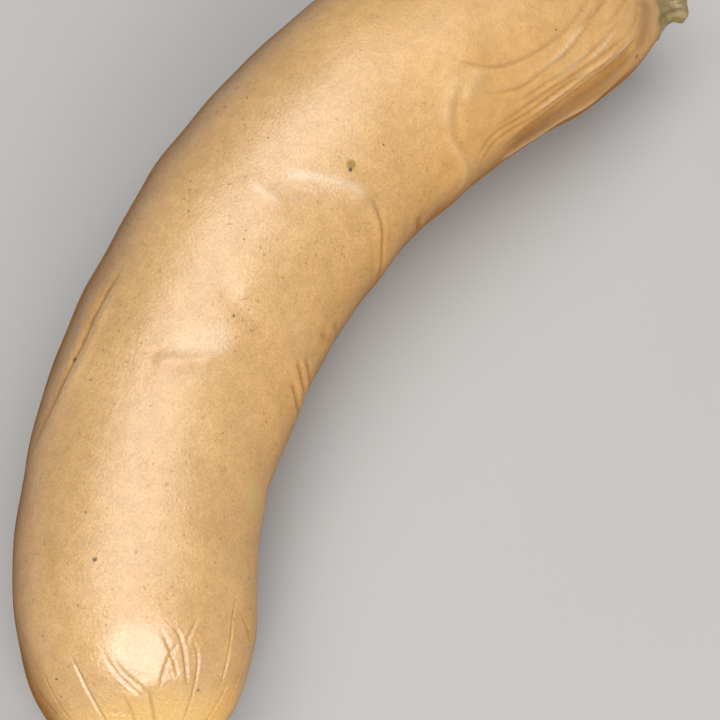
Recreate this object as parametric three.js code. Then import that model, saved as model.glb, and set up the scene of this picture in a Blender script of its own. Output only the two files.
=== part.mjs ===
// One sausage link lying on its side, in millimetres, +Z up, resting on z = 0.
// A natural casing stuffed tight is curved by its own skin. One end is a plump dome drawn into fine
// pleats, the other a long taper of gathered casing, and each tip ends in a twisted tail of casing.
// The surface is a lathe profile along a straight axis, roughened by its folds and then bent.
import * as THREE from "three";
import { mergeVertices } from "three/addons/utils/BufferGeometryUtils.js";

// The bent axis: its length between the tips, its heading at the near tip measured from +X, and how
// many degrees it turns in each millimetre, at stations spread evenly from the near tip to the far tip.
const LENGTH = 144;
const START_HEADING = 43.1;
const CURL = [0.3, 0.8, 0.4, 0.96, 0.3];

// The stuffed body: radius at each end, and what its middle adds to a straight line between them.
const NEAR_RADIUS = 14.7;
const FAR_RADIUS = 16.6;
const BELLY = 0.75;

// The end caps: how far each reaches in from its tip, and the curve that it closes by.
const NEAR_CAP = { length: 20.3, power: 2.6, root: 2 };
const FAR_CAP = { length: 50, power: 2.28, root: 2.13 };

// Its own weight presses the underside flat and lets both tips hang below the axis.
const SAG = 0.5;
const DROOP = 4.5;

// The twisted tails: length past the tip, radius of the twist, the skirt of casing that gathers into
// it with the distance over which that thins, the wider torn end, and the turn in each millimetre.
const NEAR_TAIL = { length: 4, neck: 1.3, skirt: 2.2, thins: 1.4, flare: 0.5, twist: 35 };
const FAR_TAIL = { length: 5.2, neck: 1.4, skirt: 2.9, thins: 1.6, flare: 0.7, twist: 28 };
const TAIL_ROUND = 0.9;
const TAIL_RIDGES = 6;
const TAIL_RIDGE_SHARE = 0.16;

// Pleats run from each tip over its cap, between two angles: how many, how far they reach in, their
// depth and their half width.
const NEAR_PLEATS = { count: 18, angles: [0, 360], reach: 15, depth: 0.3, width: 0.9 };
const FAR_PLEATS = { count: 13, angles: [208, 454], reach: 36, depth: 0.6, width: 1.1 };
const SHORTEST_PLEAT = 0.4;
const SHALLOWEST_PLEAT = 0.5;
const PLEAT_SLOPE = 0.16;

// Folds that the bend and the drawn casing leave in the skin. Each runs from one place past another to
// a third, given as millimetres along the axis and degrees round it, where 90 is the top and 180 the
// inside of the bend. A positive height is a crest and a negative one a groove.
const FOLDS = [
  { from: [74, 92], past: [81, 112], to: [83, 146], height: 0.35, width: 1.8 },
  { from: [83, 138], past: [82.5, 160], to: [78, 192], height: -0.45, width: 1.2 },
  { from: [73, 84], past: [73.6, 97], to: [74.2, 108], height: 0.2, width: 1.7 },
  { from: [46.5, 88], past: [49, 110], to: [54.6, 125], height: 0.4, width: 3 },
  { from: [59.8, 102], past: [58.4, 112], to: [56.6, 126], height: 0.25, width: 2.2 },
  { from: [57, 156], past: [55.5, 166], to: [56, 184], height: -0.3, width: 1.2 },
  { from: [60, 57], past: [46, 45], to: [33, 30], height: -0.3, width: 1.2 },
  { from: [60, 62], past: [46, 50], to: [33, 35], height: 0.3, width: 1.4 },
  { from: [111, 121], past: [101, 140], to: [102.4, 170], height: -0.45, width: 1.2 },
  { from: [106.6, 119], past: [98, 145], to: [101, 186], height: 0.35, width: 1.5 },
  { from: [112, 118], past: [107, 132], to: [105.6, 142], height: 0.3, width: 1.3 },
  { from: [109.5, 124], past: [124, 140], to: [134, 100], height: -0.3, width: 1.2 },
  { from: [111, 139], past: [126, 150], to: [138, 100], height: -0.3, width: 1.2 },
  { from: [106, 162], past: [124, 154], to: [140, 140], height: -0.3, width: 1.2 },
  { from: [112, 175], past: [124, 167], to: [139, 152], height: -0.6, width: 1.4 },
  { from: [113, 187], past: [124, 177], to: [138, 168], height: 0.45, width: 1.3 },
  { from: [112, 200], past: [124, 192], to: [139, 180], height: -0.5, width: 1.4 },
];
const FOLD_STEPS = 60;

// Broad unevenness of the hand-stuffed casing: depth, waves along the axis and waves round it.
const SWELLS = [
  { depth: 0.12, along: 3.1, round: 1, phase: 3.7 },
  { depth: 0.12, along: 5.3, round: 2, phase: 2.1 },
  { depth: 0.08, along: 8.7, round: 3, phase: 4.4 },
];

// Mesh resolution: columns round the axis, and rings along the tails, the caps and the body.
const COLUMNS = 72;
const RINGS = { nearTail: 6, nearCap: 13, body: 34, farCap: 21, farTail: 7 };
const AXIS_STEP = 0.5;

const COLOUR = 0xd9a066;
const ROUGHNESS = 0.42;

const { clamp, degToRad, lerp, smoothstep } = THREE.MathUtils;
const far = (s) => LENGTH - s;

// A repeatable number from 0 to 1 for one item of a numbered set.
function draw(item, set) {
  const wave = Math.sin(item * 12.9898 + set * 78.233) * 43758.5453;
  return wave - Math.floor(wave);
}

// Heading and plan position at small even steps along the axis, from its curl.
function traceAxis() {
  const trace = [{ x: 0, y: 0, heading: degToRad(START_HEADING) }];
  const steps = Math.round(LENGTH / AXIS_STEP);
  for (let i = 0; i < steps; i++) {
    const place = ((i + 0.5) / steps) * (CURL.length - 1);
    const station = Math.floor(place);
    const curl = lerp(CURL[station], CURL[station + 1], place - station);
    const { x, y, heading } = trace[i];
    const turned = heading - degToRad(curl * AXIS_STEP);
    const middle = (heading + turned) / 2;
    trace.push({
      x: x + AXIS_STEP * Math.cos(middle),
      y: y + AXIS_STEP * Math.sin(middle),
      heading: turned,
    });
  }
  return trace;
}
const AXIS = traceAxis();

// The axis at a place along it. Past a tip it runs straight on, through the tail.
function axisAt(s) {
  const inside = clamp(s, 0, LENGTH);
  const step = Math.min(Math.floor(inside / AXIS_STEP), AXIS.length - 2);
  const share = inside / AXIS_STEP - step;
  const [a, b] = [AXIS[step], AXIS[step + 1]];
  const heading = lerp(a.heading, b.heading, share);
  const over = s - inside;
  const hang = DROOP * (intoCap(s, NEAR_CAP) ** 2 + intoCap(far(s), FAR_CAP) ** 2);
  return {
    x: lerp(a.x, b.x, share) + over * Math.cos(heading),
    y: lerp(a.y, b.y, share) + over * Math.sin(heading),
    z: bodyRadius(s) - SAG - hang,
    heading,
  };
}

function bodyRadius(s) {
  const share = clamp(s / LENGTH, 0, 1);
  return lerp(NEAR_RADIUS, FAR_RADIUS, share) + 4 * BELLY * share * (1 - share);
}

// How far a place lies into a cap, from 0 where the cap begins to 1 at its tip.
const intoCap = (fromTip, cap) => clamp((cap.length - fromTip) / cap.length, 0, 1);
const capShare = (fromTip, cap) => (1 - intoCap(fromTip, cap) ** cap.power) ** (1 / cap.root);

// Radius of a tail: a skirt thinning to the twist, which widens a little and is rounded off.
function tailRadius(past, tail) {
  const outside = Math.max(past, 0);
  const opening = tail.flare * smoothstep(outside, tail.length / 2, tail.length - TAIL_ROUND);
  const closing = clamp((outside - tail.length + TAIL_ROUND) / TAIL_ROUND, 0, 1);
  const gathered = tail.neck + tail.skirt * Math.exp(-outside / tail.thins) + opening;
  return gathered * Math.sqrt(1 - closing ** 2);
}

// Radius of the smooth lathe profile, where caps and tails run into each other in a round hollow.
function profileRadius(s) {
  const stuffed = bodyRadius(s) * capShare(s, NEAR_CAP) * capShare(far(s), FAR_CAP);
  const tail = s < LENGTH / 2 ? tailRadius(-s, NEAR_TAIL) : tailRadius(-far(s), FAR_TAIL);
  return Math.cbrt(stuffed ** 3 + tail ** 3);
}

// Angle from b to a the short way round.
const turnBetween = (a, b) => Math.atan2(Math.sin(a - b), Math.cos(a - b));

// Depth of the pleats of one end. Each has its own reach and depth, and thins out with the radius.
function pleatDepth(fromTip, angle, radius, pleats, set) {
  let depth = 0;
  const [first, last] = pleats.angles;
  const step = degToRad(last - first) / pleats.count;
  for (let i = 0; i < pleats.count; i++) {
    const centre = degToRad(first) + (i + 0.5 * draw(i, set)) * step;
    const reach = pleats.reach * lerp(SHORTEST_PLEAT, 1, draw(i, set + 1));
    const deep = Math.min(
      pleats.depth * lerp(SHALLOWEST_PLEAT, 1, draw(i, set + 2)),
      PLEAT_SLOPE * radius,
    );
    const width = Math.min(pleats.width, (radius * step) / 3);
    const across = (radius * turnBetween(angle, centre)) / width;
    depth += deep * Math.exp(-across * across) * (1 - smoothstep(fromTip, reach / 3, reach));
  }
  return depth;
}

// Ridges that wind round a tail as it was twisted off, as a share of its radius.
function twistShare(past, angle, tail) {
  const fade = smoothstep(past, -1, 1.5);
  return TAIL_RIDGE_SHARE * fade * Math.cos(TAIL_RIDGES * angle + degToRad(tail.twist) * past * 3);
}

// Each fold's curve traced once, in millimetres along the axis and radians round it.
const FOLD_LINES = FOLDS.map(({ from, past, to }) => {
  const [start, control, end] = [from, past, to].map(([s, angle]) => new THREE.Vector2(s, degToRad(angle)));
  return new THREE.QuadraticBezierCurve(start, control, end).getPoints(FOLD_STEPS);
});

// Height of one fold at a place, from how far that lies from the nearest point of the fold's curve.
function foldHeight(s, angle, radius, fold, line) {
  let nearest = Infinity;
  let along = 0;
  line.forEach((point, i) => {
    const distance = Math.hypot(s - point.x, radius * turnBetween(angle, point.y));
    if (distance < nearest) {
      nearest = distance;
      along = i / FOLD_STEPS;
    }
  });
  return fold.height * Math.sqrt(Math.sin(Math.PI * along)) * Math.exp(-((nearest / fold.width) ** 2));
}

const swellHeight = (s, angle, swell) =>
  swell.depth * Math.sin((2 * Math.PI * swell.along * s) / LENGTH + swell.round * angle + swell.phase);

// Radius of the real skin at a place along the axis and round it.
function skinRadius(s, angle) {
  const radius = profileRadius(s);
  const stuffed = capShare(s, NEAR_CAP) * capShare(far(s), FAR_CAP);
  const tail = s < LENGTH / 2 ? twistShare(-s, angle, NEAR_TAIL) : twistShare(-far(s), angle, FAR_TAIL);
  let skin = radius * (1 + tail);
  skin -= pleatDepth(s, angle, radius, NEAR_PLEATS, 1);
  skin -= pleatDepth(far(s), angle, radius, FAR_PLEATS, 5);
  FOLDS.forEach((fold, i) => {
    skin += foldHeight(s, angle, radius, fold, FOLD_LINES[i]);
  });
  for (const swell of SWELLS) skin += stuffed * swellHeight(s, angle, swell);
  return skin;
}

// Places of the rings. A tail has even steps, and a cap has steps that shorten towards its tip.
function ringStations() {
  const stations = [];
  const spread = (from, to, count, ease = (t) => t) => {
    for (let i = 0; i < count; i++) stations.push(lerp(from, to, ease(i / count)));
  };
  const leaveTip = (t) => 1 - Math.cos((t * Math.PI) / 2);
  const reachTip = (t) => Math.sin((t * Math.PI) / 2);
  spread(-NEAR_TAIL.length, 0, RINGS.nearTail, leaveTip);
  spread(0, NEAR_CAP.length, RINGS.nearCap, leaveTip);
  spread(NEAR_CAP.length, LENGTH - FAR_CAP.length, RINGS.body);
  spread(LENGTH - FAR_CAP.length, LENGTH, RINGS.farCap, reachTip);
  spread(LENGTH, LENGTH + FAR_TAIL.length, RINGS.farTail, reachTip);
  return [...stations, LENGTH + FAR_TAIL.length];
}

// The lathe turned into the sausage: each vertex takes the skin's radius and moves onto the bent axis,
// and what would sink below the surface that it lies on is pressed flat.
function sausageGeometry() {
  const stations = ringStations();
  const profile = stations.map((s) => new THREE.Vector2(profileRadius(s), s));
  profile[0].x = 0;
  profile[profile.length - 1].x = 0;
  const lathe = new THREE.LatheGeometry(profile, COLUMNS);
  lathe.deleteAttribute("normal");
  lathe.deleteAttribute("uv");

  const vertices = lathe.getAttribute("position");
  for (let i = 0; i < vertices.count; i++) {
    const s = vertices.getY(i);
    const angle = Math.atan2(vertices.getX(i), vertices.getZ(i));
    const onTip = i % profile.length === 0 || i % profile.length === profile.length - 1;
    const radius = onTip ? 0 : skinRadius(s, angle);
    const { x, y, z, heading } = axisAt(s);
    const outwards = radius * Math.cos(angle);
    const height = z + radius * Math.sin(angle);
    vertices.setXYZ(
      i,
      x - outwards * Math.sin(heading),
      y + outwards * Math.cos(heading),
      Math.max(height, 0),
    );
  }

  const geometry = mergeVertices(lathe, 1e-4);
  geometry.computeBoundingBox();
  const middle = geometry.boundingBox.getCenter(new THREE.Vector3());
  geometry.translate(-middle.x, -middle.y, 0);
  geometry.computeVertexNormals();
  return geometry;
}

const skin = new THREE.MeshStandardMaterial({ color: COLOUR, roughness: ROUGHNESS, metalness: 0 });
const sausage = new THREE.Mesh(sausageGeometry(), skin);
sausage.name = "sausage";

const link = new THREE.Group();
link.add(sausage);

export default link;
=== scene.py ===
"""A single cooked sausage link lying on its side: a tight casing bent by its own skin, with fine pleats at the
plump end, gathered folds over the tapered end, and a twisted tail of casing at each tip."""

import math

import bpy
import numpy as np
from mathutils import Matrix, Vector


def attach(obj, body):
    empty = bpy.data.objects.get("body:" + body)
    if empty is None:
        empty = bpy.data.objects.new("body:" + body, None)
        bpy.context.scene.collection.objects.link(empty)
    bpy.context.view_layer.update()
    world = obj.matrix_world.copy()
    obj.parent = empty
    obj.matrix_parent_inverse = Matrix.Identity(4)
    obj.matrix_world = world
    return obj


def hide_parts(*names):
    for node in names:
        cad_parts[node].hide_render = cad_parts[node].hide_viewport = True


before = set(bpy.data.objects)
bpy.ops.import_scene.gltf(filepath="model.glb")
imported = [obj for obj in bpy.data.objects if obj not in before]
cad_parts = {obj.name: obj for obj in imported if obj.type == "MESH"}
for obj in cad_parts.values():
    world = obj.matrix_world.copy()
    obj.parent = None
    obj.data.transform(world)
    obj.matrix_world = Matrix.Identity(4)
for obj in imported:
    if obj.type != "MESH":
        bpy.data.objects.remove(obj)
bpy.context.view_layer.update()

MM = 0.001

# The form, in millimetres and degrees, as in the solid.
LENGTH = 144.0
START_HEADING = 43.1
CURL = (0.3, 0.8, 0.4, 0.96, 0.3)
NEAR_TIP = (-64.845, -19.748)
NEAR_RADIUS, FAR_RADIUS, BELLY = 14.7, 16.6, 0.75
NEAR_CAP = dict(length=20.3, power=2.6, root=2.0)
FAR_CAP = dict(length=50.0, power=2.28, root=2.13)
SAG, DROOP = 0.5, 4.5
NEAR_TAIL = dict(length=4.0, neck=1.3, skirt=2.2, thins=1.4, flare=0.5, twist=35.0)
FAR_TAIL = dict(length=5.2, neck=1.4, skirt=2.9, thins=1.6, flare=0.7, twist=28.0)
TAIL_ROUND = 0.9

# Rings along the axis and columns round it. Rings crowd where folds cross the body, columns crowd on the upper
# side, and the plump end has twice as many columns as the rest, for its fine pleats.
RINGS = dict(near_tail=8, near_cap=80, body=126, far_cap=96, far_tail=18)
COLUMNS = 236
CROWDED = (48, 52, 57, 74, 80, 83)
UNDERSIDE = (205, 335)

# A place on the skin is mm along the axis and degrees round it, 90 at the top and 180 inside the bend.
# Pleats at the plump end: thin grooves, each with its depth, through three places.
NEAR_PLEATS = (
    (0.2, (11.2, 20), (9.4, 20.2), (6.0, 26)),
    (0.24, (11.6, 33.5), (8.5, 33), (4.0, 35)),
    (0.32, (11.2, 56.8), (7.9, 58.8), (2.6, 62)),
    (0.26, (10.6, 73.5), (7.6, 80.5), (5.0, 92)),
    (0.26, (9.6, 78), (7.5, 84.5), (5.2, 96)),
    (0.26, (5.6, 79), (4.5, 81.8), (2.2, 84)),
    (0.34, (6.0, 96), (4.6, 97.2), (2.0, 100)),
    (0.2, (12.4, 103), (9.9, 108.5), (6.6, 114)),
    (0.2, (12.6, 109.5), (10.3, 115.5), (5.4, 121)),
    (0.22, (13.8, 125), (12.2, 121.2), (10.4, 117.5)),
    (0.22, (11.3, 116.5), (8.6, 108.2), (5.6, 102.5)),
    (0.24, (11.2, 120), (8.2, 125.5), (2.4, 124.5)),
    (0.16, (10.5, 114.2), (8.8, 117.3), (6.0, 119)),
    (0.36, (18.2, 149.4), (13, 146.8), (6.2, 146)),
    (0.3, (7.8, 152.3), (5.6, 151.8), (2.6, 148)),
    (0.26, (11, 166.8), (8.5, 163), (5.0, 163)),
    (0.22, (15.6, 153), (14.1, 162.5), (12.6, 171)),
    (0.26, (10.4, 182.5), (7.6, 184.8), (4.2, 180)),
    (0.18, (4.8, 60), (4.3, 72.2), (3.8, 84)),
)
HIDDEN_NEAR_PLEATS = dict(count=14, start=196, stop=366)

# Drawn casing over the tapered end: thin grooves, thin raised threads, and the deeper folds low on the inside.
FAR_LINES = (
    ((106.5, 108), (108.5, 117), (111.7, 125), (115.4, 130), (121.3, 130), (126.6, 125), (131, 113), (134, 98)),
    ((108.5, 132), (112.1, 140), (117.8, 144), (123.2, 140), (127, 136), (131.2, 124), (134.9, 110), (138, 94)),
    ((107, 157), (111.3, 157), (117.7, 156), (122.4, 154), (128, 152), (133, 147), (138, 138)),
    ((102.2, 178), (106.4, 164), (110.7, 160), (118.2, 161), (124.5, 157), (131, 154)),
    ((104.6, 176), (107.6, 169), (111.4, 165), (117, 166)),
    ((127, 162), (131.8, 160), (136.3, 157), (139, 146)),
    ((128.5, 126), (132.5, 118), (135.1, 108), (138, 92)),
    ((133.5, 130), (135.9, 122), (138.5, 108), (140.4, 92)),
    ((137.6, 140), (139.5, 127), (140.4, 107)),
    ((112, 149), (118, 150.5), (124, 148), (129, 144.5), (133, 138), (136.5, 127)),
    ((114, 165), (119, 166), (124, 163), (129, 158.5), (134, 152.5), (138, 143)),
)
FAR_THREADS = (
    ((129.9, 148), (133, 140), (136.1, 130)),
    ((126, 157), (128.6, 155.5), (133, 152), (137.1, 148), (138.7, 141)),
    ((118, 163.5), (124, 160.5), (130, 157.5)),
    ((122, 148), (127, 146), (131, 140)),
    ((119.5, 143), (123.4, 138.8), (126.6, 133), (129.5, 126), (131.5, 119.5)),
)
FAR_FOLDS = (
    ((109, 180), (112.9, 174), (117.9, 172), (122, 169), (126.9, 166), (131.8, 162), (136.3, 153), (140, 145)),
    ((111, 198), (119, 197), (126, 196), (133, 192), (139, 182)),
    ((124, 208), (132, 204), (140, 190)),
)
HIDDEN_FAR_PLEATS = dict(count=13, start=214, stop=454)

# Dark specks in the skin: mm along, degrees round, radius in mm.
SPECKS = (
    (20.7, 75.5, 0.42), (56.5, 113.8, 0.26), (46.0, 44.0, 0.34), (85.7, 47.8, 0.3), (67.0, 72.2, 0.22),
    (26.7, 70.0, 0.2), (40.3, 128.8, 0.2), (9.1, 41.5, 0.24), (5.5, 129.0, 0.24), (81.6, 48.2, 0.2),
    (58.6, 42.8, 0.22), (40.7, 92.8, 0.16), (39.7, 158.8, 0.18), (80.7, 83.8, 0.2), (90.6, 126.0, 0.2),
    (66.6, 101.2, 0.16), (67.8, 100.0, 0.16), (125.7, 121.8, 0.2),
    (30.5, 232, 0.26), (52, 318, 0.24), (74, 262, 0.22), (96, 300, 0.28), (64, 8, 0.22), (101, 14, 0.24),
    (14, 300, 0.22),
)

# Grooves where the bend presses the inside of the skin together.
PUCKERS = (
    ((57.2, 154), (56.5, 160), (55.8, 168), (55.4, 180)),
    ((58.9, 160), (58.3, 167), (57.8, 177), (57.6, 190)),
    ((54, 157), (53.5, 164), (52.8, 172), (52.4, 186)),
    ((63.4, 158), (63.9, 166), (64.5, 172), (64.8, 184)),
    ((67, 168), (66.4, 176), (66.6, 188)),
    ((91, 170), (90.2, 178), (90.4, 190)),
)

# Painted highlights on the fold crests, and painted shade in the hollows beside them: strength, width in mm, and
# places.
PAINTED_HIGHLIGHTS = (
    (0.54, 0.8, (76.6, 96), (78.3, 105), (79.7, 113), (81.3, 122), (82.6, 130), (83, 137)),
    (0.32, 0.75, (73.9, 86), (73.8, 96), (73.7, 106)),
    (0.3, 1.9, (47.8, 89), (50, 100), (52.4, 108), (55.4, 117)),
    (0.22, 1.1, (60.6, 101), (60.3, 107), (60, 114)),
)
PAINTED_HOLLOW_SHADE = (
    (0.13, 1.3, (75, 98), (76.6, 108), (78.3, 117), (80, 126)),
    (0.14, 0.9, (46, 91), (46.3, 101), (48, 111), (50.2, 119)),
    (0.13, 1.0, (58.9, 105), (57.5, 115), (57.1, 124), (57.6, 133)),
    (0.08, 0.9, (108, 127), (104.4, 136), (102.8, 146), (102.6, 156)),
    (0.34, 1.7, (109, 182), (113, 178), (118, 176), (124, 173), (130, 169), (136, 160), (140, 150)),
    (0.3, 1.3, (141.8, 96), (141.6, 116), (141.2, 134), (140.2, 149), (139, 162)),
)

# Broad unevenness of the stuffed skin: height in mm, waves along it, waves round it, and phase.
WAVES = ((0.12, 3.1, 1, 3.7), (0.12, 5.3, 2, 2.1), (0.08, 8.7, 3, 4.4), (0.05, 15, 5, 1.0))

CREST_POWER = 1.5
DEEPEST_SHADE = 0.45
MOST_RELIEF = 0.22


def smooth(t):
    t = np.clip(t, 0, 1)
    return t * t * (3 - 2 * t)


def trace_axis(step=0.25):
    """Plan position and heading of the bent axis at even steps, from how much it curls at each station."""
    places = np.arange(0, LENGTH + step / 2, step)
    stations = np.linspace(0, LENGTH, len(CURL))
    curl = np.interp((places[1:] + places[:-1]) / 2, stations, CURL)
    heading = np.radians(START_HEADING - np.r_[0, np.cumsum(curl * step)])
    middle = (heading[1:] + heading[:-1]) / 2
    x = NEAR_TIP[0] + np.r_[0, np.cumsum(np.cos(middle) * step)]
    y = NEAR_TIP[1] + np.r_[0, np.cumsum(np.sin(middle) * step)]
    return places, x, y, heading


AXIS = trace_axis()


def body_radius(s):
    share = np.clip(s / LENGTH, 0, 1)
    return NEAR_RADIUS + (FAR_RADIUS - NEAR_RADIUS) * share + 4 * BELLY * share * (1 - share)


def into_cap(from_tip, cap):
    return np.clip((cap["length"] - from_tip) / cap["length"], 0, 1)


def cap_share(from_tip, cap):
    return (1 - into_cap(from_tip, cap) ** cap["power"]) ** (1 / cap["root"])


def axis_at(s):
    places, x, y, heading = AXIS
    inside = np.clip(s, 0, LENGTH)
    h = np.interp(inside, places, heading)
    over = s - inside
    hang = DROOP * (into_cap(s, NEAR_CAP) ** 2 + into_cap(LENGTH - s, FAR_CAP) ** 2)
    z = body_radius(s) - SAG - hang
    x, y = np.interp(inside, places, x), np.interp(inside, places, y)
    return x + over * np.cos(h), y + over * np.sin(h), z, h


def tail_radius(past, tail):
    outside = np.maximum(past, 0)
    opening = tail["flare"] * smooth((outside / tail["length"] - 0.5) / (0.5 - TAIL_ROUND / tail["length"]))
    closing = np.clip((outside - tail["length"] + TAIL_ROUND) / TAIL_ROUND, 0, 1)
    gathered = tail["neck"] + tail["skirt"] * np.exp(-outside / tail["thins"]) + opening
    return gathered * np.sqrt(1 - closing ** 2)


def profile_radius(s):
    stuffed = body_radius(s) * cap_share(s, NEAR_CAP) * cap_share(LENGTH - s, FAR_CAP)
    tail = np.where(s < LENGTH / 2, tail_radius(-s, NEAR_TAIL), tail_radius(s - LENGTH, FAR_TAIL))
    return np.cbrt(stuffed ** 3 + tail ** 3)


def spread(from_, to, count, weight):
    """Places from one end up to the other, closer together where the weight is larger."""
    fine = np.linspace(from_, to, 2000)
    w = weight(fine)
    run = np.r_[0, np.cumsum((w[1:] + w[:-1]) / 2)]
    return np.interp(np.linspace(0, run[-1], count, endpoint=False), run, fine)


def ring_places():
    """The rings of the plump end with its tail, and those of the rest."""
    crowd = lambda s: 1 + 1.3 * sum(np.exp(-(((s - c) / 3.5) ** 2)) for c in CROWDED)
    near_end = lambda s: 1 + 2 * np.exp(-s / 3)
    far_end = lambda s: 1 + 2.2 * np.exp(-(LENGTH - s) / 4) + 0.8 * np.exp(-(((s - 105) / 6) ** 2))
    even = lambda s: np.ones_like(s)
    start, stop = -NEAR_TAIL["length"], LENGTH + FAR_TAIL["length"]
    inner, outer = NEAR_CAP["length"], LENGTH - FAR_CAP["length"]
    plump = [spread(start, 0, RINGS["near_tail"], even), spread(0, inner, RINGS["near_cap"], near_end)]
    rest = [
        spread(inner, outer, RINGS["body"], crowd),
        spread(outer, LENGTH, RINGS["far_cap"], far_end),
        spread(LENGTH, stop, RINGS["far_tail"], even),
    ]
    return np.concatenate(plump), np.concatenate(rest)


def column_angles():
    """The columns of the rest, and those of the plump end, which has one more between each two."""
    low, high = UNDERSIDE
    weight = lambda a: 1 - 0.72 * smooth((a - low) / 20) * smooth((high - a) / 20)
    coarse = np.radians(spread(0, 360, COLUMNS, weight))
    between = (coarse + np.r_[coarse[1:], 2 * math.pi]) / 2
    return coarse, np.stack([coarse, between], 1).ravel()


def curve_through(points, steps=28):
    """A smooth run of places through a few given ones."""
    p = np.array(points, float)
    if len(p) == 2:
        return np.linspace(p[0], p[1], steps)
    ends = np.vstack([2 * p[0] - p[1], p, 2 * p[-1] - p[-2]])
    each = max(steps // (len(p) - 1), 2)
    run = []
    for a, b, c, d in zip(ends[:-3], ends[1:-2], ends[2:-1], ends[3:]):
        square, cube = 2 * a - 5 * b + 4 * c - d, 3 * b - a - 3 * c + d
        for t in np.linspace(0, 1, each, endpoint=False):
            run.append(0.5 * (2 * b + (c - a) * t + square * t ** 2 + cube * t ** 3))
    return np.array(run + [p[-1]])


def turn_from(angle, degrees):
    """The shorter way round from one direction to each angle, in radians."""
    turn = angle - math.radians(degrees)
    return np.arctan2(np.sin(turn), np.cos(turn))


class Skin:
    """The grid of places on the skin, and the relief that is raised on it."""

    def __init__(self):
        plump, rest = ring_places()
        coarse, fine = column_angles()
        self.rings = [(s, fine) for s in plump[1:]] + [(s, coarse) for s in rest]
        self.s = np.concatenate([np.full(len(a), s) for s, a in self.rings])
        self.angle = np.concatenate([a for _, a in self.rings])
        self.radius = profile_radius(self.s)
        self.relief = np.zeros_like(self.s)
        # Painted shade along grooves and hollows, and painted highlights along crests, each kept as a layer for
        # the colour.
        self.groove = np.zeros_like(self.s)
        self.painted_highlight = np.zeros_like(self.s)

    def faces(self):
        """Four-sided faces between rings, three-sided ones where the columns halve, and a fan over each tip."""
        counts = [len(a) for _, a in self.rings]
        starts = np.r_[0, np.cumsum(counts)]
        faces = []
        for i in range(len(counts) - 1):
            a, b, n, m = starts[i], starts[i + 1], counts[i], counts[i + 1]
            for j in range(m):
                k = (j + 1) % m
                if n == m:
                    faces.append((a + j, b + j, b + k, a + k))
                else:
                    left, middle, right = a + 2 * j, a + 2 * j + 1, a + 2 * k
                    faces += [(left, b + j, middle), (middle, b + j, b + k), (middle, b + k, right)]
        near, far = starts[-1], starts[-1] + 1
        last, n, m = starts[-2], counts[0], counts[-1]
        faces += [(near, j, (j + 1) % n) for j in range(n)]
        faces += [(far, last + (j + 1) % m, last + j) for j in range(m)]
        return [tuple(int(v) for v in f) for f in faces]

    def measure(self, points, reach):
        """For the places near a curve: which they are, how far across it, and how far along it from 0 to 1.
        Across is positive to the right when looking along the curve with the skin seen from outside."""
        run = curve_through(points)
        near = (self.s > run[:, 0].min() - reach) & (self.s < run[:, 0].max() + reach)
        s, angle, radius = self.s[near], self.angle[near], self.radius[near]
        best = np.full(s.shape, np.inf)
        across, along = np.zeros_like(best), np.zeros_like(best)
        count = len(run) - 1
        for i in range(count):
            (s0, a0), (s1, a1) = run[i], run[i + 1]
            gx, gy = s - s0, radius * turn_from(angle, a0)
            rx, ry = s1 - s0, radius * math.radians(a1 - a0)
            square = rx * rx + ry * ry + 1e-9
            t = np.clip((gx * rx + gy * ry) / square, 0, 1)
            away = np.hypot(gx - t * rx, gy - t * ry)
            side = np.sign(gx * ry - gy * rx)
            closer = away < best
            best = np.where(closer, away, best)
            across = np.where(closer, away * side, across)
            along = np.where(closer, (i + t) / count, along)
        return near, across, along

    def crease(self, points, depth, width=0.3, lip=0.0, lip_width=0.8, ends=(0.25, 0.25), shade=1.0):
        """A groove along a curve, fading over a share of it at each end, with soft raised lips beside it, and
        painted shade along the groove.
        """
        near, across, along = self.measure(points, 4 * max(width, lip_width))
        fade = smooth(along / ends[0]) * smooth((1 - along) / ends[1])
        cut = np.exp(-((across / width) ** 2)) * fade
        raised = (across / lip_width) ** 2 * np.exp(1 - (across / lip_width) ** 2) * fade
        self.relief[near] += lip * raised - depth * cut
        self.groove[near] = np.maximum(self.groove[near], shade * depth * cut)

    def ridge(self, points, height, left, right, ends=(0.3, 0.3), painted_highlight=0.0):
        """A crest along a curve, falling away over one width on its left and another on its right, with a
        painted highlight along it as strong as asked.
        """
        near, across, along = self.measure(points, 4 * max(left, right))
        fade = smooth(along / ends[0]) * smooth((1 - along) / ends[1])
        width = np.where(across < 0, left, right)
        crest = np.exp(-np.abs(across / width) ** CREST_POWER) * fade
        self.relief[near] += height * crest
        self.painted_highlight[near] = np.maximum(self.painted_highlight[near], painted_highlight * crest)

    def paint_light(self, layer, points, strength, width):
        """A run of painted light along a curve, into the layer given: painted shade in the groove layer, painted
        highlights in the highlight layer.
        """
        near, across, along = self.measure(points, 3 * width)
        fade = smooth(along / 0.25) * smooth((1 - along) / 0.2)
        layer[near] = np.maximum(layer[near], strength * np.exp(-((across / width) ** 2)) * fade)

    def around(self, middle, along, across):
        """1 at one place of the skin, falling to 0 round it."""
        turn = turn_from(self.angle, middle[1])
        return np.exp(-(((self.s - middle[0]) / along) ** 2 + (self.radius * turn / across) ** 2))

    def spot(self, s, angle):
        """The point of the raised skin at one place."""
        nearest = np.argmin((self.s - s) ** 2 + (self.radius * turn_from(self.angle, angle)) ** 2)
        radius = profile_radius(np.array(s)) + self.relief[nearest]
        return tuple(float(v) for v in place_on(np.array(s), math.radians(angle), radius))


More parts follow.
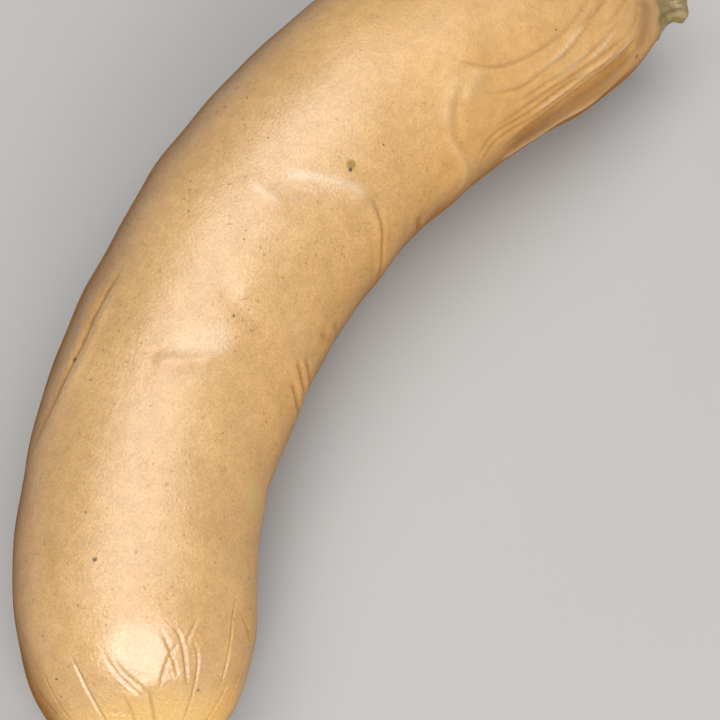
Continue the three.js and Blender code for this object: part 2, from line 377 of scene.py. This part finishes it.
def raise_relief(skin):
    draw = np.random.default_rng(7)

    for depth, *points in NEAR_PLEATS:
        skin.crease(points, depth, width=0.18, lip=0.12 * depth, lip_width=0.4, ends=(0.45, 0.1))
    count, start, stop = HIDDEN_NEAR_PLEATS.values()
    for i in range(count):
        angle = start + (i + draw.uniform(-0.3, 0.3)) * (stop - start) / count
        reach = draw.uniform(7, 14)
        points = ((reach, angle + draw.uniform(-3, 3)), (reach * 0.6, angle), (2.4, angle + draw.uniform(-4, 4)))
        skin.crease(points, 0.2, width=0.2, lip=0.06, lip_width=0.5, ends=(0.45, 0.1))
    # The taut skin over the plump end: an edge where it turns down to the tip, and a shallow dip above it.
    skin.ridge(((4.9, 76), (5.2, 84), (5.9, 96), (6.3, 108), (6.4, 121), (6.3, 128)), 0.26, 1.6, 0.9)
    skin.relief -= 0.4 * skin.around((10.0, 92.5), 1.6, 2.0)

    # The fold across the top that turns into a groove down the inside of the bend, and a smaller one beside it.
    skin.ridge(((76.3, 98), (77.7, 105), (79, 113), (80.6, 122), (81.9, 130), (82.7, 138), (82.5, 146)),
               0.7, 1.7, 3.0)
    skin.ridge(((82.1, 132), (82.6, 140), (82.5, 146), (81.6, 155), (80.3, 164), (79, 175), (77.7, 184)),
               0.26, 0.6, 1.3)
    skin.crease(((83.6, 136), (83.5, 145), (82.5, 156), (80.9, 166), (79.8, 178), (78.6, 192)),
                0.36, width=0.32, lip=0.06, lip_width=1.0, ends=(0.3, 0.2))
    skin.crease(((74.6, 96), (76.1, 108), (77.9, 118)), 0.12, width=1.0, shade=0.5)
    skin.ridge(((73.8, 84), (73.6, 96), (73.5, 105), (73.4, 113)), 0.3, 1.3, 1.3)

    # The dented place half way along: an edge with a long far slope, and a valley beside it.
    skin.ridge(((46.9, 86), (47.1, 92), (47.6, 100), (49.2, 110), (51.7, 118), (54.5, 124)), 0.5, 4.2, 1.2)
    skin.crease(((45.8, 92), (46.3, 102), (48, 112)), 0.14, width=1.1, shade=0.5)
    skin.crease(((59.6, 101), (58.8, 106), (57.4, 115), (57.1, 124), (57.6, 133)), 0.22, width=1.2, shade=0.25)
    skin.ridge(((60.4, 100), (60.3, 105), (60, 112), (59.7, 122)), 0.26, 2.4, 1.2)

    # Painted highlights along the fold crests, and painted shade in the hollows beside them.
    for strength, width, *points in PAINTED_HIGHLIGHTS:
        skin.paint_light(skin.painted_highlight, points, strength, width)
    for strength, width, *points in PAINTED_HOLLOW_SHADE:
        skin.paint_light(skin.groove, points, strength, width)
    for points in PUCKERS:
        skin.crease(points, 0.3, width=0.42, lip=0.14, lip_width=0.95)

    # Two soft swellings with a valley between them where the taper begins, and the lip they run into, with
    # painted shade in the valley and painted highlights on the crests.
    skin.crease(((110.5, 124), (106.8, 129), (103.9, 137), (102.6, 146), (102.5, 156), (103, 164)),
                0.18, width=0.9, ends=(0.35, 0.3), shade=0.5)
    skin.ridge(((108, 122), (106.6, 125), (104.3, 130), (102.4, 136), (100.7, 146)), 0.3, 1.2, 1.2, painted_highlight=0.18)
    skin.ridge(((111.4, 125), (110.3, 128), (107.9, 132), (106.2, 138)), 0.26, 1.1, 1.1, painted_highlight=0.18)
    skin.ridge(((100.6, 142), (100.7, 148), (101.4, 161), (101.5, 171), (99.6, 188)), 0.34, 0.8, 1.0, painted_highlight=0.15)

    # A long fine line on the outer flank between two raised edges, and a short scratch.
    skin.crease(((60, 52), (56.4, 49.5), (52.5, 48.4), (48.2, 46.6), (45.5, 44), (41.5, 39.5), (37.3, 31),
                 (33.5, 20)), 0.36, ends=(0.2, 0.3))
    skin.ridge(((57, 55), (53, 54.3), (48.7, 53.6), (45.2, 51.5), (42.5, 47.5), (39, 41)), 0.24, 0.8, 0.8)
    skin.ridge(((57, 43), (54.3, 42.6), (51, 42.2), (47.5, 41.6), (44, 38)), 0.26, 0.9, 0.9)
    skin.crease(((86.5, 82), (89.7, 89.5), (93.4, 91.6)), 0.06, width=0.35, lip=0.02)

    # The drawn casing of the tapered end, with a raised edge along the lowest fold; painted shade lies in its
    # grooves and folds, and painted highlights on its threads and raised edge.
    for points in FAR_LINES:
        skin.crease(points, 0.2, width=0.24, lip=0.07, lip_width=0.5, ends=(0.3, 0.1))
    for points in FAR_THREADS:
        skin.ridge(points, 0.16, 0.32, 0.32, painted_highlight=0.4)
    for points in FAR_FOLDS:
        skin.crease(points, 0.26, width=0.5, lip=0.06, lip_width=1.2, ends=(0.3, 0.1))
    skin.ridge(((110.5, 186), (113, 186), (116.4, 187), (120, 187.5), (124.4, 187), (128.9, 186), (132.7, 183),
                (138, 172)), 0.4, 0.5, 0.5, ends=(0.15, 0.3), painted_highlight=0.4)
    count, start, stop = HIDDEN_FAR_PLEATS.values()
    for i in range(count):
        angle = start + (i + draw.uniform(-0.3, 0.3)) * (stop - start) / count
        reach = draw.uniform(10, 30)
        outer = (LENGTH - reach, angle + draw.uniform(-6, 6))
        middle = (LENGTH - reach * 0.5, angle + draw.uniform(-3, 3))
        points = (outer, middle, (LENGTH - 2, angle))
        skin.crease(points, draw.uniform(0.2, 0.45), width=0.5, lip=0.08, lip_width=1.2, ends=(0.45, 0.1))

    stuffed = cap_share(skin.s, NEAR_CAP) * cap_share(LENGTH - skin.s, FAR_CAP)
    turn = 2 * math.pi * skin.s / LENGTH
    for height, along, around, phase in WAVES:
        skin.relief += stuffed * height * np.sin(turn * along + around * skin.angle + phase)


def twist_tails(skin):
    """Gathered ridges along both tails, slightly wound."""
    for past, tail, wound in ((-skin.s, NEAR_TAIL, 1.6), (skin.s - LENGTH, FAR_TAIL, 0.9)):
        fade = smooth((past + 1) / 2.5)
        wind = np.radians(tail["twist"]) * np.maximum(past, 0) * wound
        ridges = 0.13 * np.cos(6 * skin.angle + wind) + 0.07 * np.cos(11 * skin.angle - 0.6 * wind + 1)
        skin.relief += skin.radius * fade * ridges


def place_on(s, angle, radius):
    """The point of the skin at a place along the axis and round it, pressed flat where it lies."""
    x, y, z, heading = axis_at(s)
    out = radius * np.cos(angle)
    up = np.maximum(z + radius * np.sin(angle), 0)
    return np.stack([x - out * np.sin(heading), y + out * np.cos(heading), up], -1) * MM


# The shades of the two tips, one row each, in the order that shades() gives.
TIP_SHADES = ((1, 1, 0, 0), (0, 1, 0, 0)), ((1, 0, 0, 0), (0, 0, 1, 0))


def shades(skin):
    """How much each place has of what the material tells apart, four to a colour attribute."""
    s, up, out = skin.s, np.sin(skin.angle), np.cos(skin.angle)
    tip = smooth((7.5 - s) / 5)
    tail = np.clip(smooth((s - LENGTH + 1.2) / 2) + smooth((-s + 0.5) / 2), 0, 1)
    # Painted shade in grooves, creases and hollows.
    groove = np.clip(skin.groove / DEEPEST_SHADE, 0, 1)
    # The flanks, away from the top: painted shade in the colour, and less gloss.
    side = smooth((0.9 - up) / 0.7)
    taut = smooth((15 - s) / 6)
    drawn = smooth((s - 80) / 40)
    # Painted shade: the lowest skin is darker, and the painted shade reaches higher on the outside of the bend
    # past the plump end.
    grown = smooth((s - 20) / 45)
    low = smooth((0.48 + 0.2 * grown + (0.27 + 0.14 * grown) * out - up) / 0.55)
    return (tip, tail, groove, side), (taut, low, drawn, skin.painted_highlight)


def build_skin():
    skin = Skin()
    raise_relief(skin)
    limit = MOST_RELIEF * skin.radius
    skin.relief = np.clip(skin.relief, -limit, limit)
    twist_tails(skin)
    points = place_on(skin.s, skin.angle, skin.radius + skin.relief)
    ends = np.array([-NEAR_TAIL["length"], LENGTH + FAR_TAIL["length"]])
    tips = place_on(ends, np.zeros(2), np.zeros(2))

    mesh = bpy.data.meshes.new("sausage_skin")
    mesh.from_pydata(np.vstack([points, tips]).tolist(), [], skin.faces())
    mesh.polygons.foreach_set("use_smooth", np.ones(len(mesh.polygons), bool))
    for name, values, at_tips in zip(("tint", "cast"), shades(skin), TIP_SHADES):
        values = np.vstack([np.stack(values, -1), at_tips]).astype(np.float32)
        mesh.attributes.new(name, "FLOAT_COLOR", "POINT").data.foreach_set("color", values.ravel())
    mesh.update()
    piece = bpy.data.objects.new("sausage_skin", mesh)
    bpy.context.collection.objects.link(piece)
    mesh.materials.append(casing_material(skin))
    return piece


def casing_material(skin):
    """Smoked casing: mottled tan with grain, pores and specks, painted shade on the flanks and in the grooves,
    painted highlights on the fold crests, and gloss on its upper side.
    """
    material = bpy.data.materials.new("casing")
    material.use_nodes = True
    tree = material.node_tree
    nodes, links = tree.nodes, tree.links
    shader = nodes["Principled BSDF"]
    for name, value in (("IOR", 1.58), ("Subsurface Weight", 0.2), ("Subsurface Scale", 0.0012),
                        ("Subsurface Radius", (1.0, 0.45, 0.2)), ("Coat IOR", 1.5), ("Coat Roughness", 0.17),
                        ("Specular IOR Level", 0.5)):
        shader.inputs[name].default_value = value
    place = nodes.new("ShaderNodeTexCoord").outputs["Object"]

    def join(value, socket):
        """Links an output to a socket, or sets the socket to a plain value."""
        if hasattr(value, "links"):
            links.new(value, socket)
        elif isinstance(value, tuple) and len(socket.default_value) == 4:
            socket.default_value = (*value, 1)
        else:
            socket.default_value = value

    def noise(scale, detail, rough, output="Fac"):
        n = nodes.new("ShaderNodeTexNoise")
        for name, value in (("Vector", place), ("Scale", scale), ("Detail", detail), ("Roughness", rough)):
            join(value, n.inputs[name])
        return n.outputs[output]

    def ramp(value, *stops):
        r = nodes.new("ShaderNodeValToRGB")
        elements = r.color_ramp.elements
        while len(elements) < len(stops):
            elements.new(0.5)
        for e, (at, colour) in zip(elements, stops):
            e.position = at
            e.color = (*colour, 1)
        links.new(value, r.inputs["Fac"])
        return r.outputs["Color"]

    def scaled(value, low, high, from_=0.0, to=1.0):
        m = nodes.new("ShaderNodeMapRange")
        for socket, v in zip(m.inputs[:5], (value, low, high, from_, to)):
            join(v, socket)
        return m.outputs[0]

    def mix(kind, factor, a, b):
        m = nodes.new("ShaderNodeMix")
        m.data_type = "RGBA"
        m.blend_type = kind
        for socket, value in ((m.inputs[0], factor), (m.inputs[6], a), (m.inputs[7], b)):
            join(value, socket)
        return m.outputs[2]

    def vector(kind, a, b, output=0):
        v = nodes.new("ShaderNodeVectorMath")
        v.operation = kind
        join(a, v.inputs[0])
        join(b, v.inputs["Scale" if kind == "SCALE" else 1])
        return v.outputs[output]

    def channels(name):
        attribute = nodes.new("ShaderNodeAttribute")
        attribute.attribute_name = name
        split = nodes.new("ShaderNodeSeparateColor")
        links.new(attribute.outputs["Color"], split.inputs["Color"])
        return (*split.outputs[:3], attribute.outputs["Alpha"])

    # groove, side and low are masks of painted shade; the last channel of cast is of painted highlights.
    tip, tail, groove, side = channels("tint")
    taut, low, drawn, painted_highlight = channels("cast")

    colour = ramp(noise(70, 3, 0.55), (0.35, (0.67, 0.405, 0.165)), (0.65, (0.74, 0.46, 0.2)))
    far_colour = ramp(noise(90, 3, 0.55), (0.35, (0.66, 0.385, 0.145)), (0.65, (0.72, 0.43, 0.175)))
    colour = mix("MIX", drawn, colour, far_colour)
    mottle = ramp(noise(520, 3, 0.6), (0.36, (0.93, 0.91, 0.88)), (0.64, (1.04, 1.05, 1.06)))
    colour = mix("MULTIPLY", 1.0, colour, mottle)
    grain = ramp(noise(3000, 3, 0.65), (0.36, (0.87, 0.84, 0.8)), (0.64, (1.06, 1.07, 1.09)))
    colour = mix("MULTIPLY", scaled(drawn, 0.0, 1.0, 1.0, 0.45), colour, grain)

    pores = nodes.new("ShaderNodeTexVoronoi")
    uneven = vector("ADD", place, vector("SCALE", noise(900, 2, 0.5, "Color"), 0.0012))
    links.new(uneven, pores.inputs["Vector"])
    pores.inputs["Scale"].default_value = 900
    dots = ramp(pores.outputs["Distance"], (0.08, (0.58, 0.48, 0.38)), (0.24, (1, 1, 1)))
    most = scaled(drawn, 0.0, 1.0, 0.9, 0.35)
    colour = mix("MULTIPLY", scaled(noise(330, 2, 0.6), 0.46, 0.62, 0.0, most), colour, dots)

    colour = mix("MIX", tip, colour, mix("MULTIPLY", 1.0, (0.86, 0.54, 0.16), grain))
    # Painted shade on the flanks: browner along the sides and darker low down.
    colour = mix("MULTIPLY", side, colour, (1.03, 0.94, 0.74))
    colour = mix("MULTIPLY", low, colour, (0.5, 0.42, 0.36))

    # Single marks, each round one place, with an edge made ragged by noise whose mean the shift takes out.
    ragged = vector("ADD", place, vector("SCALE", noise(2200, 2, 0.6, "Color"), 0.0005))
    shift = Vector((0.00025, 0.00025, 0.00025))

    def patch(s, angle, radius, soft, shade, strength):
        at = tuple(Vector(skin.spot(s, angle)) + shift)
        away = vector("DISTANCE", ragged, at, "Value")
        return mix("MIX", scaled(away, radius * soft * MM, radius * MM, strength, 0.0), colour, shade)

    # A yellowish stain, a reddish spot by the far tail, a fleck of herb with its dark core, and the specks.
    colour = patch(34.2, 157.5, 2.6, 0.2, (0.6, 0.46, 0.15), 0.7)
    colour = patch(139.1, 167.5, 0.55, 0.4, (0.3, 0.08, 0.035), 0.75)
    colour = patch(84.8, 121.2, 0.85, 0.45, (0.32, 0.2, 0.012), 0.9)
    colour = patch(84.15, 122.4, 0.36, 0.5, (0.06, 0.045, 0.012), 0.95)
    for s, angle, radius in SPECKS:
        colour = patch(s, angle, radius, 0.5, (0.09, 0.055, 0.03), 0.9)

    # Painted highlights: fold crests, raised threads and the far rib turn a paler cream.
    colour = mix("MIX", painted_highlight, colour, mix("MULTIPLY", 1.0, (0.9, 0.74, 0.53), grain))
    dry = ramp(noise(700, 2, 0.6), (0.35, (0.21, 0.145, 0.055)), (0.65, (0.35, 0.27, 0.12)))
    colour = mix("MIX", tail, colour, dry)
    # Painted shade in grooves, creases and hollows, deeper and more olive over the drawn end.
    colour = mix("MULTIPLY", groove, colour, mix("MIX", drawn, (0.72, 0.6, 0.45), (0.52, 0.44, 0.33)))
    links.new(colour, shader.inputs["Base Color"])

    join(scaled(taut, 0.0, 1.0, 0.4, 0.3), shader.inputs["Roughness"])
    on_top = scaled(drawn, 0.0, 0.6, 1.0, 0.5)
    join(scaled(low, 0.0, 1.0, scaled(side, 0.0, 1.0, on_top, 0.2), 0.0), shader.inputs["Specular IOR Level"])
    gloss = scaled(taut, 0.0, 1.0, scaled(drawn, 0.0, 0.6, 0.5, 0.15), 0.35)
    join(scaled(side, 0.0, 1.0, gloss, 0.0), shader.inputs["Coat Weight"])

    normal = None
    for height, strength, depth in ((noise(2400, 3, 0.65), 0.9, 0.0001), (noise(230, 2, 0.5), 0.4, 0.0003)):
        bump = nodes.new("ShaderNodeBump")
        join(height, bump.inputs["Height"])
        bump.inputs["Strength"].default_value = strength
        bump.inputs["Distance"].default_value = depth
        if normal:
            links.new(normal, bump.inputs["Normal"])
        normal = bump.outputs["Normal"]
    links.new(normal, shader.inputs["Normal"])
    links.new(normal, shader.inputs["Coat Normal"])
    return material


sausage = build_skin()
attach(sausage, "root")
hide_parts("sausage")

# The view: 66 degrees above the floor, 58 degrees round from -Y towards -X, 350 mm from where it aims.
AIM = Vector((-5.695, -13.5, 15.5)) * MM
ELEVATION, TURN, DISTANCE = math.radians(66), math.radians(58), 350 * MM


def seen(right, away, up):
    """A direction given as the camera's right, straight away from it along the floor, and up."""
    c, s = math.cos(TURN), math.sin(TURN)
    return Vector((c * right + s * away, -s * right + c * away, up))


camera = bpy.data.objects.new("camera", bpy.data.cameras.new("camera"))
bpy.context.collection.objects.link(camera)
camera.location = AIM + seen(0, -math.cos(ELEVATION), math.sin(ELEVATION)) * DISTANCE
camera.rotation_euler = (AIM - camera.location).to_track_quat("-Z", "Y").to_euler()
camera.data.sensor_width = 36
camera.data.lens = 132.3
camera.data.clip_start = 0.01
bpy.context.scene.camera = camera


LIGHT_DISTANCE = 0.8


def area_light(name, direction, size, power, colour):
    data = bpy.data.lights.new(name, "AREA")
    data.shape = "RECTANGLE"
    data.size, data.size_y = size
    data.energy = power
    data.color = colour
    lamp = bpy.data.objects.new(name, data)
    bpy.context.collection.objects.link(lamp)
    lamp.location = AIM + direction.normalized() * LIGHT_DISTANCE
    lamp.rotation_euler = (AIM - lamp.location).to_track_quat("-Z", "Y").to_euler()


area_light("back", seen(0.2, 0.45, 1.0), (0.85, 0.5), 3.2, (1.0, 0.99, 0.97))
area_light("top", seen(-0.24, -0.14, 1.0), (0.85, 0.5), 3.0, (1.0, 0.99, 0.97))
area_light("front", seen(0.1, -0.8, 0.62), (0.75, 0.33), 4.9, (1.0, 0.98, 0.96))

world = bpy.data.worlds.new("studio")
world.use_nodes = True
world.node_tree.nodes["Background"].inputs["Color"].default_value = (1.0, 0.98, 0.96, 1)
world.node_tree.nodes["Background"].inputs["Strength"].default_value = 0.1
bpy.context.scene.world = world

floor_mesh = bpy.data.meshes.new("floor")
floor_mesh.from_pydata([(-3, -3, 0), (3, -3, 0), (3, 3, 0), (-3, 3, 0)], [], [(0, 1, 2, 3)])
floor = bpy.data.objects.new("floor", floor_mesh)
bpy.context.collection.objects.link(floor)
floor_material = bpy.data.materials.new("floor")
floor_material.use_nodes = True
floor_shader = floor_material.node_tree.nodes["Principled BSDF"]
floor_shader.inputs["Base Color"].default_value = (0.46, 0.46, 0.46, 1)
floor_shader.inputs["Roughness"].default_value = 0.8
floor_mesh.materials.append(floor_material)

bpy.context.scene.view_settings.view_transform = "Standard"
